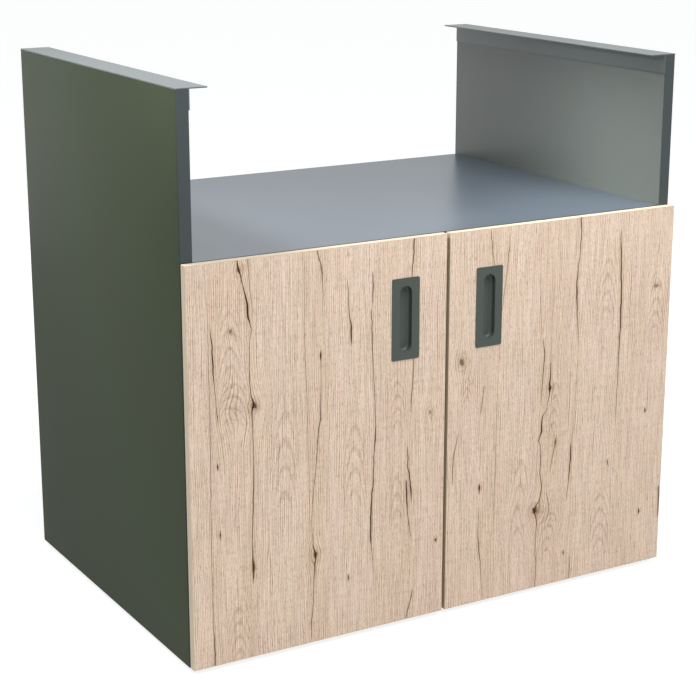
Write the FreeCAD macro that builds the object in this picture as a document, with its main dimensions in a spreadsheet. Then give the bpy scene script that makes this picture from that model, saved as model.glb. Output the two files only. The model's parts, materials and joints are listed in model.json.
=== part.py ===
"""Base cabinet of an outdoor kitchen: a sheet-metal carcass for a drop-in grill, with two oak doors.

Millimetres. +Z is up, the doors face -Y, and the origin is on the floor under the middle of the cabinet.
Every piece of the right half is drawn, and its left-hand twin is its mirror image.
"""
import FreeCAD, Part
import math
import os
import Sketcher

doc = FreeCAD.newDocument("grill_cabinet")

# Driving dimensions
DRIVING_SIZES = [
    # carcass
    ("overall_width", 900),
    ("side_depth", 611),
    ("side_height", 878),
    ("side_thick", 20),
    ("skin", 1.5),
    ("bend_radius", 2),
    ("rib_width", 40),
    ("rib_inset", 150),
    ("foot_gap", 8),
    # rails along the tops of the sides
    ("rail_width", 50),
    ("rail_leg", 30),
    ("rail_thick", 2),
    # deck under the grill, with its hose grommet
    ("shelf_height", 630),
    ("shelf_flange", 35),
    ("shelf_lip", 24),
    ("grommet_bore", 20),
    ("grommet_wall", 5),
    ("grommet_collar", 5),
    ("grommet_rise", 2.5),
    ("grommet_side_inset", 90),
    ("grommet_back_inset", 95),
    # floor and back of the storage space
    ("base_height", 40),
    ("lip_margin", 25),
    ("rear_foot", 20),
    ("vent_length", 60),
    ("vent_radius", 3),
    ("vent_pitch", 90),
    ("vent_rise", 60),
    # levelling feet
    ("foot_side_inset", 60),
    ("foot_end_inset", 35),
    ("pad_radius", 20),
    ("pad_play", 0.3),
    ("pad_floor", 2.7),
    ("spindle_radius", 4),
    ("spindle_play", 0.08),
    ("spindle_top_room", 3),
    ("nut_radius", 7.5),
    ("nut_height", 8),
    # doors
    ("door_thick", 13),
    ("door_gap", 3),
    ("door_split", 6),
    ("door_low_gap", 1),
    ("edge_band", 1),
    # flush pulls
    ("pull_width", 50),
    ("pull_height", 130),
    ("pull_lip", 1),
    ("pull_corner", 3),
    ("pull_slot_width", 22),
    ("pull_slot_height", 105),
    ("pull_depth", 10),
    ("pull_wall", 1),
    ("pull_floor_round", 5),
    ("pull_offset", 78),
    ("pull_drop", 126),
    # concealed hinges
    ("hinge_inset", 100),
    ("cup_edge", 3),
    ("cup_radius", 17.5),
    ("cup_wall", 0.8),
    ("cup_room", 0.5),
    ("wing_thick", 1.2),
    ("wing_width", 12),
    ("wing_reach", 12),
    ("pivot_depth", 7.5),
    ("pin_radius", 1.2),
    ("pin_play", 0.05),
    ("knuckle_radius", 2),
    ("knuckle_room", 0.7),
    ("knuckle_height", 7),
    ("knuckle_play", 0.3),
    ("tongue_length", 3.5),
    ("arm_thick", 2.2),
    ("arm_height", 10),
    ("arm_length", 58),
    ("plate_height", 6.8),
    ("plate_base", 2.5),
    ("plate_inset", 12),
    ("plate_half_span", 24),
    ("plate_hole_offset", 17),
    # catches and buffers
    ("strike_thick", 1.5),
    ("strike_width", 40),
    ("catch_height", 14),
    ("catch_depth", 20),
    ("catch_gap", 0.3),
    ("catch_offset", 33),
    ("buffer_radius", 4),
    ("buffer_inset", 12),
    # fasteners
    ("screw_radius", 2),
    ("screw_length", 8),
    ("screw_head_radius", 4),
    ("screw_head_height", 2),
    ("screw_inset", 70),
    ("wood_screw_radius", 1.5),
    ("wood_screw_length", 10),
    ("wood_screw_head_radius", 3),
    ("wood_screw_head_height", 0.9),
]

# Places worked out from the driving dimensions
PLACES = [
    ("outer_x", "size.overall_width / 2"),
    ("inner_x", "outer_x - size.side_thick"),
    ("front_depth", "size.pull_lip + size.door_thick + size.door_gap"),
    ("total_depth", "front_depth + size.side_depth + size.screw_head_height"),
    ("door_front", "size.pull_lip - total_depth / 2"),
    ("door_back", "door_front + size.door_thick"),
    ("side_front", "door_back + size.door_gap"),
    ("side_back", "side_front + size.side_depth"),
    ("side_low", "size.foot_gap"),
    ("side_top", "size.foot_gap + size.side_height"),
    ("shelf_top", "size.foot_gap + size.shelf_height"),
    ("shelf_low", "shelf_top - size.shelf_flange"),
    ("base_top", "size.foot_gap + size.base_height"),
    ("base_lip", "size.foot_end_inset + size.lip_margin"),
    ("grommet_x", "inner_x - size.grommet_side_inset"),
    ("grommet_y", "side_back - size.grommet_back_inset"),
    ("foot_x", "inner_x - size.foot_side_inset"),
    ("foot_front_y", "side_front + size.foot_end_inset"),
    ("foot_rear_y", "side_back - size.foot_end_inset"),
    ("nut_base", "side_low + size.skin"),
    ("door_low", "size.foot_gap + size.door_low_gap"),
    ("door_high", "shelf_top"),
    ("door_inside", "size.door_split / 2"),
    ("pull_z", "shelf_top - size.pull_drop"),
    ("pull_slot_radius", "size.pull_slot_width / 2"),
    ("pull_slot_half", "(size.pull_slot_height - size.pull_slot_width) / 2"),
    ("pull_pocket", "size.pull_depth + size.pull_wall - size.pull_lip"),
    ("hinge_low_z", "door_low + size.hinge_inset"),
    ("hinge_high_z", "door_high - size.hinge_inset"),
    ("cup_x", "outer_x - size.cup_edge - size.cup_radius"),
    ("cup_depth", "size.pivot_depth + size.arm_thick + size.cup_room + size.cup_wall"),
    ("pivot_x", "outer_x - size.cup_edge - size.cup_wall - size.knuckle_radius - size.knuckle_room"),
    ("pivot_y", "door_back - size.pivot_depth"),
    ("pin_edge", "pivot_x - cup_x + size.pin_radius"),
    ("pin_half", "sqrt((size.cup_radius - size.cup_wall)^2 - pin_edge^2)"),
    ("arm_face", "inner_x - size.plate_height"),
    ("arm_end", "side_front + size.arm_length"),
    ("plate_start", "side_front + size.plate_inset"),
    ("plate_middle", "(plate_start + arm_end) / 2"),
]


def fill_sheet(name, rows):
    """One spreadsheet with a name in column A and its value, under that alias, in column B."""
    sheet = doc.addObject("Spreadsheet::Sheet", name)
    for row, (alias, value) in enumerate(rows, start=1):
        sheet.set(f"A{row}", alias)
        sheet.set(f"B{row}", str(value))
        sheet.setAlias(f"B{row}", alias)
    doc.recompute()
    return sheet


size = fill_sheet("size", DRIVING_SIZES)
place = fill_sheet("place", [(alias, "=" + formula) for alias, formula in PLACES])


def worked_out(formula):
    return float(size.evalExpression(formula))


# Blocks, round bars and booleans
TURNS = {
    "+z": FreeCAD.Rotation(),
    "-z": FreeCAD.Rotation(FreeCAD.Vector(1, 0, 0), 180),
    "+x": FreeCAD.Rotation(FreeCAD.Vector(0, 1, 0), 90),
    "-x": FreeCAD.Rotation(FreeCAD.Vector(0, 1, 0), -90),
    "+y": FreeCAD.Rotation(FreeCAD.Vector(1, 0, 0), -90),
    "-y": FreeCAD.Rotation(FreeCAD.Vector(1, 0, 0), 90),
}


def set_down(piece, corner, direction="+z"):
    """Turns a primitive's own Z axis to a direction and binds its base to a point."""
    piece.Placement = FreeCAD.Placement(FreeCAD.Vector(), TURNS[direction])
    for axis, formula in zip("xyz", corner):
        piece.setExpression(f"Placement.Base.{axis}", formula)


def block(name, x, y, z):
    """A plain block between a low and a high place along each axis."""
    piece = doc.addObject("Part::Box", name)
    set_down(piece, (x[0], y[0], z[0]))
    for side, (low, high) in zip(("Length", "Width", "Height"), (x, y, z)):
        piece.setExpression(side, f"({high}) - ({low})")
    return piece


def bar(name, start, direction, radius, length):
    """A round bar from a point along a direction."""
    piece = doc.addObject("Part::Cylinder", name)
    set_down(piece, start, direction)
    piece.setExpression("Radius", radius)
    piece.setExpression("Height", length)
    return piece


def gathered(name, pieces):
    """Separate solids in one node."""
    group = doc.addObject("Part::Compound", name)
    group.Links = pieces
    return group


def fused(name, pieces):
    whole = doc.addObject("Part::MultiFuse", name)
    whole.Shapes = pieces
    return whole


def cut(name, base, tools):
    rest = doc.addObject("Part::Cut", name)
    rest.Base = base
    rest.Tool = tools[0] if len(tools) == 1 else gathered(name + "_cutters", tools)
    return rest


def mirrored(name, source):
    """The left-hand twin of a right-hand piece."""
    twin = doc.addObject("Part::Mirroring", name)
    twin.Source = source
    twin.Normal = FreeCAD.Vector(1, 0, 0)
    return twin


# Sketched bodies
def new_body(name):
    return doc.addObject("PartDesign::Body", name)


def sketch(body, name, plane, offset):
    """An empty sketch at an offset along the normal of one of the body's own planes."""
    drawing = body.newObject("Sketcher::SketchObject", name)
    support = next(feature for feature in body.Origin.OriginFeatures if feature.Role == plane)
    drawing.AttachmentSupport = (support, [""])
    drawing.MapMode = "FlatFace"
    drawing.setExpression(".AttachmentOffset.Base.z", offset)
    return drawing


def bind(drawing, kind, formula, *elements):
    """A dimension of a sketch, bound to a formula."""
    index = drawing.addConstraint(Sketcher.Constraint(kind, *elements, worked_out(formula)))
    drawing.setExpression(f"Constraints[{index}]", formula)


def outline(drawing, corners):
    """A closed outline of straight lines."""
    points = [FreeCAD.Vector(worked_out(u), worked_out(v), 0) for u, v in corners]
    count = len(points)
    for index in range(count):
        drawing.addGeometry(Part.LineSegment(points[index], points[(index + 1) % count]), False)
    for index in range(count):
        drawing.addConstraint(Sketcher.Constraint("Coincident", index, 2, (index + 1) % count, 1))
    for index, (u, v) in enumerate(corners):
        bind(drawing, "DistanceX", u, -1, 1, index, 1)
        bind(drawing, "DistanceY", v, -1, 1, index, 1)


def rectangle(drawing, u, v):
    outline(drawing, [(u[0], v[0]), (u[1], v[0]), (u[1], v[1]), (u[0], v[1])])


def circle(drawing, u, v, radius):
    centre = FreeCAD.Vector(worked_out(u), worked_out(v), 0)
    index = drawing.addGeometry(Part.Circle(centre, FreeCAD.Vector(0, 0, 1), worked_out(radius)), False)
    bind(drawing, "Radius", radius, index)
    bind(drawing, "DistanceX", u, -1, 1, index, 3)
    bind(drawing, "DistanceY", v, -1, 1, index, 3)


def upright_slot(drawing, u, v, radius, half):
    """A slot with round ends, its end centres half above and half below its own centre."""
    normal = FreeCAD.Vector(0, 0, 1)
    mid_u, mid_v, round_end, reach = (worked_out(formula) for formula in (u, v, radius, half))
    top = FreeCAD.Vector(mid_u, mid_v + reach, 0)
    low = FreeCAD.Vector(mid_u, mid_v - reach, 0)
    across = FreeCAD.Vector(round_end, 0, 0)
    drawing.addGeometry(Part.ArcOfCircle(Part.Circle(top, normal, round_end), 0, math.pi), False)
    drawing.addGeometry(Part.LineSegment(top - across, low - across), False)
    drawing.addGeometry(Part.ArcOfCircle(Part.Circle(low, normal, round_end), math.pi, 2 * math.pi), False)
    drawing.addGeometry(Part.LineSegment(low + across, top + across), False)
    for index in range(4):
        drawing.addConstraint(Sketcher.Constraint("Tangent", index, 2, (index + 1) % 4, 1))
    drawing.addConstraint(Sketcher.Constraint("Equal", 0, 2))
    bind(drawing, "Radius", radius, 0)
    bind(drawing, "DistanceX", u, -1, 1, 0, 3)
    bind(drawing, "DistanceX", u, -1, 1, 2, 3)
    bind(drawing, "DistanceY", f"{v} + {half}", -1, 1, 0, 3)
    bind(drawing, "DistanceY", f"{v} - {half}", -1, 1, 2, 3)


def swept(body, kind, name, drawing, length, backwards):
    feature = body.newObject(kind, name)
    feature.Profile = drawing
    feature.setExpression("Length", length)
    feature.Reversed = backwards
    doc.recompute()
    return feature


def pad(body, name, drawing, length, backwards=False):
    return swept(body, "PartDesign::Pad", name, drawing, length, backwards)


def pocket(body, name, drawing, depth, backwards=False):
    """A pocket that has to take material away."""
    before = body.Shape.Volume
    feature = swept(body, "PartDesign::Pocket", name, drawing, depth, backwards)
    if body.Shape.Volume >= before:
        raise ValueError(f"{body.Label}: {name} cuts nothing")
    return feature


def rounded(body, name, base, radius, chosen):
    """Rounds the edges of the base feature that a test picks out."""
    picked = [f"Edge{index}" for index, edge in enumerate(base.Shape.Edges, start=1) if chosen(edge)]
    feature = body.newObject("PartDesign::Fillet", name)
    feature.Base = (base, picked)
    feature.setExpression("Radius", radius)
    doc.recompute()
    return feature


UP = FreeCAD.Vector(0, 0, 1)
BACKWARDS = FreeCAD.Vector(0, 1, 0)
SAME_PLACE = 1e-6


def is_straight_along(edge, axis):
    return edge.Curve.TypeId == "Part::GeomLine" and abs(edge.Curve.Direction.dot(axis)) > 0.999


# Fasteners
def screw(name, seat, direction, kind=""):
    """A pan-head screw: its head stands on the seat, and its shank runs on in the direction given."""
    back = ("-" if direction[0] == "+" else "+") + direction[1]
    shank = bar(name + "_shank", seat, direction, f"size.{kind}screw_radius", f"size.{kind}screw_length")
    head_radius = f"size.{kind}screw_head_radius"
    head = bar(name + "_head", seat, back, head_radius, f"size.{kind}screw_head_height")
    return fused(name, [head, shank]), shank


def spaced(start, span, count, index):
    """The place of one of several equally spaced things along a span."""
    return f"{start} + {index} * ({span}) / {count - 1}"


SIDE_SCREW_COUNT = 3
REAR_SCREW_COUNT = 4
side_screw_span = "size.side_depth - 2 * size.screw_inset"
rear_screw_span = "2 * (place.inner_x - size.screw_inset)"

shelf_screws, shelf_shanks, floor_screws, floor_shanks = [], [], [], []
for index in range(SIDE_SCREW_COUNT):
    along = spaced("place.side_front + size.screw_inset", side_screw_span, SIDE_SCREW_COUNT, index)
    for level, height, screws, shanks in (
        ("shelf", "place.shelf_top - size.shelf_flange / 2", shelf_screws, shelf_shanks),
        ("floor", "place.side_low + size.base_height / 2", floor_screws, floor_shanks),
    ):
        name = f"{level}_screw_{index}"
        whole, shank = screw(name, ("place.inner_x - size.skin", along, height), "+x")
        screws += [whole, mirrored(name + "_left", whole)]
        shanks += [shank, mirrored(name + "_shank_left", shank)]

rear_screws, rear_top_shanks, rear_foot_shanks = [], [], []
for index in range(REAR_SCREW_COUNT):
    across = spaced("-place.inner_x + size.screw_inset", rear_screw_span, REAR_SCREW_COUNT, index)
    top_seat = (across, "place.side_back", "place.shelf_top - size.shelf_flange / 2")
    foot_seat = (across, "place.side_back - size.skin - size.rear_foot / 2", "place.base_top + size.skin")
    whole, shank = screw(f"rear_top_screw_{index}", top_seat, "-y")
    rear_screws.append(whole)
    rear_top_shanks.append(shank)
    whole, shank = screw(f"rear_foot_screw_{index}", foot_seat, "-z")
    rear_screws.append(whole)
    rear_foot_shanks.append(shank)

plate_screws, plate_shanks, arm_screws, arm_shanks = [], [], [], {}
cup_screws, cup_shanks = [], {}
LEVELS = {"lower": "place.hinge_low_z", "upper": "place.hinge_high_z"}
for level, middle in LEVELS.items():
    cup_shanks[level] = []
    for sign in "-+":
        name = f"{level}_plate_screw_{'low' if sign == '-' else 'high'}"
        height = f"{middle} {sign} size.plate_hole_offset"
        plate_seat = ("place.inner_x - size.plate_base", "place.plate_middle", height)
        whole, shank = screw(name, plate_seat, "+x")
        plate_screws += [whole, mirrored(name + "_left", whole)]
        plate_shanks.append(shank)
        name = f"{level}_cup_screw_{'low' if sign == '-' else 'high'}"
        height = f"{middle} {sign} (size.cup_radius + size.wing_reach / 2)"
        wing_seat = ("place.cup_x", "place.door_back + size.wing_thick", height)
        whole, shank = screw(name, wing_seat, "-y", kind="wood_")
        cup_screws.append(whole)
        cup_shanks[level].append(shank)
    name = f"{level}_arm_screw"
    arm_seat = ("place.arm_face - size.arm_thick", "place.plate_middle", middle)
    whole, shank = screw(name, arm_seat, "+x")
    arm_screws += [whole, mirrored(name + "_left", whole)]
    arm_shanks[level] = shank

all_cup_shanks = cup_shanks["lower"] + cup_shanks["upper"]

# Side walls: a pressed pan closed by an inner sheet, with two channels between them
outer_pan = new_body("right_outer_skin")
face = sketch(outer_pan, "side_outline", "YZ_Plane", "place.outer_x")
rectangle(face, ("place.side_front", "place.side_back"), ("place.side_low", "place.side_top"))
panel = pad(outer_pan, "side_panel", face, "size.side_thick", backwards=True)
pan_middle = worked_out("(place.inner_x + place.outer_x) / 2")
rounded(
    outer_pan, "pressed_corners", panel, "size.bend_radius",
    lambda edge: is_straight_along(edge, UP) and edge.CenterOfMass.x > pan_middle,
)
hollow = sketch(outer_pan, "side_hollow", "YZ_Plane", "place.inner_x")
rectangle(
    hollow,
    ("place.side_front + size.skin", "place.side_back - size.skin"),
    ("place.side_low + size.skin", "place.side_top - size.skin"),
)
pocket(outer_pan, "hollow", hollow, "size.side_thick - size.skin", backwards=True)

inner_sheet = block(
    "right_inner_sheet",
    ("place.inner_x", "place.inner_x + size.skin"),
    ("place.side_front + size.skin", "place.side_back - size.skin"),
    ("place.side_low + size.skin", "place.side_top - size.skin"),
)
right_shanks = [shank for shank in shelf_shanks + floor_shanks if "left" not in shank.Name]
inner_skin = cut("right_inner_skin", inner_sheet, right_shanks + plate_shanks)

channels = []
rib_x = ("place.inner_x + size.skin", "place.outer_x - size.skin")
trough_x = ("place.inner_x + size.skin", "place.outer_x - 2 * size.skin")
rib_ends = ("place.side_low + size.skin", "place.side_top - size.skin")
ribs_at = {"front": "place.side_front + size.rib_inset", "rear": "place.side_back - size.rib_inset"}
for name, middle in ribs_at.items():
    flanks = (f"{middle} - size.rib_width / 2", f"{middle} + size.rib_width / 2")
    inside = (f"{flanks[0]} + size.skin", f"{flanks[1]} - size.skin")
    solid = block(f"{name}_rib_block", rib_x, flanks, rib_ends)
    trough = block(f"{name}_rib_trough", trough_x, inside, rib_ends)
    channels.append(cut(f"{name}_rib", solid, [trough]))
ribs = gathered("right_stiffeners", channels)

# Rails: a tee that caps each side wall, reaches inwards to carry the grill, and hangs a leg inside
rail = new_body("right_top_rail")
tee = sketch(rail, "rail_section", "XZ_Plane", "-place.side_front")
outline(tee, [
    ("place.outer_x", "place.side_top"),
    ("place.outer_x", "place.side_top + size.rail_thick"),
    ("place.outer_x - size.rail_width", "place.side_top + size.rail_thick"),
    ("place.outer_x - size.rail_width", "place.side_top"),
    ("place.inner_x - size.rail_thick", "place.side_top"),
    ("place.inner_x - size.rail_thick", "place.side_top - size.rail_leg"),
    ("place.inner_x", "place.side_top - size.rail_leg"),
    ("place.inner_x", "place.side_top"),
])
pad(rail, "rail_length", tee, "size.side_depth", backwards=True)

# Deck: a folded tray, open downwards, whose front flange turns in for the catches
deck = new_body("shelf_tray")
deck_face = sketch(deck, "deck_outline", "XY_Plane", "place.shelf_top")
rectangle(deck_face, ("-place.inner_x", "place.inner_x"), ("place.side_front", "place.side_back"))
pad(deck, "deck", deck_face, "size.shelf_flange", backwards=True)
deck_hollow = sketch(deck, "deck_hollow", "XY_Plane", "place.shelf_low + size.skin")
rectangle(
    deck_hollow,
    ("-place.inner_x + size.skin", "place.inner_x - size.skin"),
    ("place.side_front + size.skin", "place.side_back - size.skin"),
)
pocket(deck, "under_deck", deck_hollow, "size.shelf_flange - 2 * size.skin", backwards=True)
deck_mouth = sketch(deck, "deck_mouth", "XY_Plane", "place.shelf_low")
rectangle(
    deck_mouth,
    ("-place.inner_x + size.skin", "place.inner_x - size.skin"),
    ("place.side_front + size.shelf_lip", "place.side_back - size.skin"),
)
pocket(deck, "mouth", deck_mouth, "size.skin", backwards=True)
hose_hole = sketch(deck, "hose_hole", "XY_Plane", "place.shelf_top")
circle(hose_hole, "-place.grommet_x", "place.grommet_y", "size.grommet_bore + size.grommet_wall")
pocket(deck, "hose_way", hose_hole, "size.skin")
shelf = cut("upper_shelf", deck, shelf_shanks + rear_top_shanks)

grommet_axis = ("-place.grommet_x", "place.grommet_y")
grommet_low = "place.shelf_top - size.skin - size.grommet_rise"
grommet_height = "size.skin + 2 * size.grommet_rise"
neck_radius = "size.grommet_bore + size.grommet_wall"
collar_radius = f"{neck_radius} + size.grommet_collar"
grommet_foot = (*grommet_axis, grommet_low)
grommet_seat = (*grommet_axis, "place.shelf_top")
grommet_body = fused("grommet_body", [
    bar("grommet_neck", grommet_foot, "+z", neck_radius, grommet_height),
    bar("grommet_low_collar", grommet_foot, "+z", collar_radius, "size.grommet_rise"),
    bar("grommet_high_collar", grommet_seat, "+z", collar_radius, "size.grommet_rise"),
])
grommet_hole = bar("grommet_hole", grommet_foot, "+z", "size.grommet_bore", grommet_height)
grommet = cut("hose_grommet", grommet_body, [grommet_hole])

# Floor: a folded tray whose front and rear flanges turn in under it and carry the feet
feet_at = {"front": "place.foot_front_y", "rear": "place.foot_rear_y"}
spindle_holes = [
    bar(f"{end}_spindle_hole", ("place.foot_x", along, "place.side_low"), "+z",
        "size.spindle_radius + size.spindle_play", "size.skin")
    for end, along in feet_at.items()
]
floor_block = block(
    "floor_block",
    ("-place.inner_x", "place.inner_x"),
    ("place.side_front", "place.side_back"),
    ("place.side_low", "place.base_top"),
)
floor_hollow = block(
    "floor_hollow",
    ("-place.inner_x + size.skin", "place.inner_x - size.skin"),
    ("place.side_front + size.skin", "place.side_back - size.skin"),
    ("place.side_low + size.skin", "place.base_top - size.skin"),
)
floor_mouth = block(
    "floor_mouth",
    ("-place.inner_x + size.skin", "place.inner_x - size.skin"),
    ("place.side_front + place.base_lip", "place.side_back - place.base_lip"),
    ("place.side_low", "place.side_low + size.skin"),
)
floor_holes = spindle_holes + [mirrored(hole.Name + "_left", hole) for hole in spindle_holes]
floor_cutters = [floor_hollow, floor_mouth, *floor_holes, *floor_shanks, *rear_foot_shanks]
base_floor = cut("base_floor", floor_block, floor_cutters)

# Back: a sheet with a foot folded forwards and a row of vents near the floor
VENT_COUNT = 7
back_sheet = new_body("rear_sheet")
back_section = sketch(back_sheet, "back_section", "YZ_Plane", "size.skin - place.inner_x")
back_face = "place.side_back - size.skin"
outline(back_section, [
    (back_face, "place.base_top"),
    (back_face, "place.shelf_top - size.skin"),
    (f"{back_face} - size.skin", "place.shelf_top - size.skin"),
    (f"{back_face} - size.skin", "place.base_top + size.skin"),
    (f"{back_face} - size.rear_foot", "place.base_top + size.skin"),
    (f"{back_face} - size.rear_foot", "place.base_top"),
])
pad(back_sheet, "back_width", back_section, "2 * (place.inner_x - size.skin)")
vent_drawing = sketch(back_sheet, "vent_outline", "XZ_Plane", f"size.skin - ({back_face})")
upright_slot(
    vent_drawing, f"-size.vent_pitch * {(VENT_COUNT - 1) // 2}", "place.base_top + size.vent_rise",
    "size.vent_radius", "size.vent_length / 2 - size.vent_radius",
)
vent = pocket(back_sheet, "vent", vent_drawing, "size.skin")
vents = back_sheet.newObject("PartDesign::LinearPattern", "vents")
vents.Originals = [vent]
vents.Direction = (vent_drawing, ["H_Axis"])
vents.setExpression("Length", f"size.vent_pitch * {VENT_COUNT - 1}")
vents.Occurrences = VENT_COUNT
back_sheet.Tip = vents
doc.recompute()
rear_panel = cut("rear_panel", back_sheet, rear_top_shanks + rear_foot_shanks)

# Levelling feet: a pad moulded on a threaded spindle, in a nut welded to the turned-in flange
feet, nuts = [], []
for end, along in feet_at.items():
    axis = ("place.foot_x", along)
    pad_height = "size.foot_gap - size.pad_play"
    pad_block = bar(f"{end}_pad_block", (*axis, "0"), "+z", "size.pad_radius", pad_height)
    spindle = bar(
        f"{end}_right_foot_spindle", (*axis, "size.pad_floor"), "+z",
        "size.spindle_radius", "place.base_top - size.skin - size.spindle_top_room - size.pad_floor",
    )
    feet += [cut(f"{end}_right_foot_pad", pad_block, [spindle]), spindle]
    hexagon = doc.addObject("Part::Prism", f"{end}_nut_block")
    hexagon.Polygon = 6
    hexagon.setExpression("Circumradius", "size.nut_radius")
    hexagon.setExpression("Height", "size.nut_height")
    set_down(hexagon, (*axis, "place.nut_base"))
    bore_radius = "size.spindle_radius + size.spindle_play"
    bore = bar(f"{end}_nut_bore", (*axis, "place.nut_base"), "+z", bore_radius, "size.nut_height")
    nut = cut(f"{end}_nut", hexagon, [bore])
    nuts += [nut, mirrored(f"{end}_nut_left", nut)]

# Doors: an oak-faced board in an edge band, with a flush pull let into its front
board = new_body("right_door_core")
board_face = sketch(board, "board_outline", "XZ_Plane", "-place.door_front")
board_x = ("place.door_inside + size.edge_band", "place.outer_x - size.edge_band")
board_z = ("place.door_low + size.edge_band", "place.door_high - size.edge_band")
rectangle(board_face, board_x, board_z)
pad(board, "board", board_face, "size.door_thick", backwards=True)
pull_outer = ("place.pull_slot_radius + size.pull_wall", "place.pull_slot_half")
pull_bed = sketch(board, "pull_bed", "XZ_Plane", "-place.door_front")
upright_slot(pull_bed, "size.pull_offset", "place.pull_z", *pull_outer)
pocket(board, "pull_pocket", pull_bed, "place.pull_pocket")
for level, middle in LEVELS.items():
    cup_bed = sketch(board, f"{level}_cup_bed", "XZ_Plane", "-place.door_back")
    circle(cup_bed, "place.cup_x", middle, "size.cup_radius")
    pocket(board, f"{level}_cup_pocket", cup_bed, "place.cup_depth", backwards=True)
door_board = cut("right_door_board", board, all_cup_shanks)

door_y = ("place.door_front", "place.door_back")
door_x = ("place.door_inside", "place.outer_x")
band_block = block("edging_block", door_x, door_y, ("place.door_low", "place.door_high"))
edging = cut("right_door_edging", band_block, [block("edging_inside", board_x, door_y, board_z)])

pull = new_body("right_pull")
pull_face = sketch(pull, "pull_plate", "XZ_Plane", "-place.door_front")
rectangle(
    pull_face,
    ("size.pull_offset - size.pull_width / 2", "size.pull_offset + size.pull_width / 2"),
    ("place.pull_z - size.pull_height / 2", "place.pull_z + size.pull_height / 2"),
)
pull_plate = pad(pull, "plate", pull_face, "size.pull_lip")
rounded(
    pull, "plate_corners", pull_plate, "size.pull_corner",
    lambda edge: is_straight_along(edge, BACKWARDS),
)
pull_shell = sketch(pull, "pull_shell", "XZ_Plane", "-place.door_front")
upright_slot(pull_shell, "size.pull_offset", "place.pull_z", *pull_outer)
pad(pull, "shell", pull_shell, "place.pull_pocket", backwards=True)
finger_slot = sketch(pull, "finger_slot", "XZ_Plane", "size.pull_lip - place.door_front")
finger_room = ("place.pull_slot_radius", "place.pull_slot_half")
upright_slot(finger_slot, "size.pull_offset", "place.pull_z", *finger_room)
recess = pocket(pull, "recess", finger_slot, "size.pull_depth")
recess_floor = worked_out("place.door_front - size.pull_lip + size.pull_depth")
rounded(
    pull, "scooped_floor", recess, "size.pull_floor_round",
    lambda edge: all(abs(vertex.Y - recess_floor) < SAME_PLACE for vertex in edge.Vertexes),
)

# Hinges: a cup let into the door's back, its pin, and a cranked arm on a plate inside the side wall
hinge_cups, hinge_pins, hinge_arms, hinge_plates = [], [], [], []
for level, middle in LEVELS.items():
    cup_bottom = ("place.cup_x", "place.door_back - place.cup_depth", middle)
    cup_block = bar(f"{level}_cup_block", cup_bottom, "+y", "size.cup_radius", "place.cup_depth")
    wing = block(
        f"{level}_wing",
        ("place.cup_x - size.wing_width / 2", "place.cup_x + size.wing_width / 2"),
        ("place.door_back", "place.door_back + size.wing_thick"),
        (f"{middle} - size.cup_radius - size.wing_reach", f"{middle} + size.cup_radius + size.wing_reach"),
    )
    well_bottom = ("place.cup_x", "place.door_back - place.cup_depth + size.cup_wall", middle)
    well_radius = "size.cup_radius - size.cup_wall"
    well_length = "place.cup_depth + size.wing_thick"
    well_block = bar(f"{level}_well_block", well_bottom, "+y", well_radius, well_length)
    lug_x = ("place.pivot_x - size.knuckle_radius", "place.outer_x")
    lug_y = (well_bottom[1], "place.pivot_y + size.knuckle_radius")
    lug_start = "size.knuckle_height / 2 + size.knuckle_play"
    low_lug_z = (f"{middle} - size.cup_radius", f"{middle} - ({lug_start})")
    high_lug_z = (f"{middle} + {lug_start}", f"{middle} + size.cup_radius")
    low_lug = block(f"{level}_low_lug", lug_x, lug_y, low_lug_z)
    high_lug = block(f"{level}_high_lug", lug_x, lug_y, high_lug_z)
    cup_well = cut(f"{level}_cup_well", well_block, [low_lug, high_lug])
    pin = bar(
        f"right_{level}_hinge_pin", ("place.pivot_x", "place.pivot_y", f"{middle} - place.pin_half"), "+z",
        "size.pin_radius", "2 * place.pin_half",
    )
    hinge_pins.append(pin)
    cup_shape = fused(f"{level}_cup_shape", [cup_block, wing])
    hinge_cups.append(cut(f"right_{level}_hinge_cup", cup_shape, [cup_well, pin, *cup_shanks[level]]))

    arm_z = (f"{middle} - size.arm_height / 2", f"{middle} + size.arm_height / 2")
    knuckle_z = (f"{middle} - size.knuckle_height / 2", f"{middle} + size.knuckle_height / 2")
    reach_y = ("place.pivot_y - size.arm_thick", "place.pivot_y")
    arm_x = ("place.arm_face - size.arm_thick", "place.arm_face")
    tongue_start = "place.pivot_x - size.tongue_length"
    knuckle_foot = ("place.pivot_x", "place.pivot_y", knuckle_z[0])
    arm_shape = fused(f"{level}_arm_shape", [
        block(f"{level}_arm_shaft", arm_x, (reach_y[0], "place.arm_end"), arm_z),
        block(f"{level}_arm_reach", (arm_x[0], tongue_start), reach_y, arm_z),
        block(f"{level}_arm_tongue", (tongue_start, "place.pivot_x"), reach_y, knuckle_z),
        bar(f"{level}_arm_knuckle", knuckle_foot, "+z", "size.knuckle_radius", "size.knuckle_height"),
    ])
    bore_radius = "size.pin_radius + size.pin_play"
    pin_bore = bar(f"{level}_pin_bore", knuckle_foot, "+z", bore_radius, "size.knuckle_height")
    hinge_arms.append(cut(f"right_{level}_hinge_arm", arm_shape, [pin_bore, arm_shanks[level]]))

    plate_y = ("place.plate_start", "place.arm_end")
    wide_z = (f"{middle} - size.plate_half_span", f"{middle} + size.plate_half_span")
    plate_shape = fused(f"{level}_plate_shape", [
        block(f"{level}_plate_base", ("place.inner_x - size.plate_base", "place.inner_x"), plate_y, wide_z),
        block(f"{level}_plate_block", ("place.arm_face", "place.inner_x"), plate_y, arm_z),
    ])
    own_shanks = [shank for shank in plate_shanks if shank.Name.startswith(level)]
    hinge_plates.append(cut(f"right_{level}_hinge_plate", plate_shape, [*own_shanks, arm_shanks[level]]))

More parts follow.
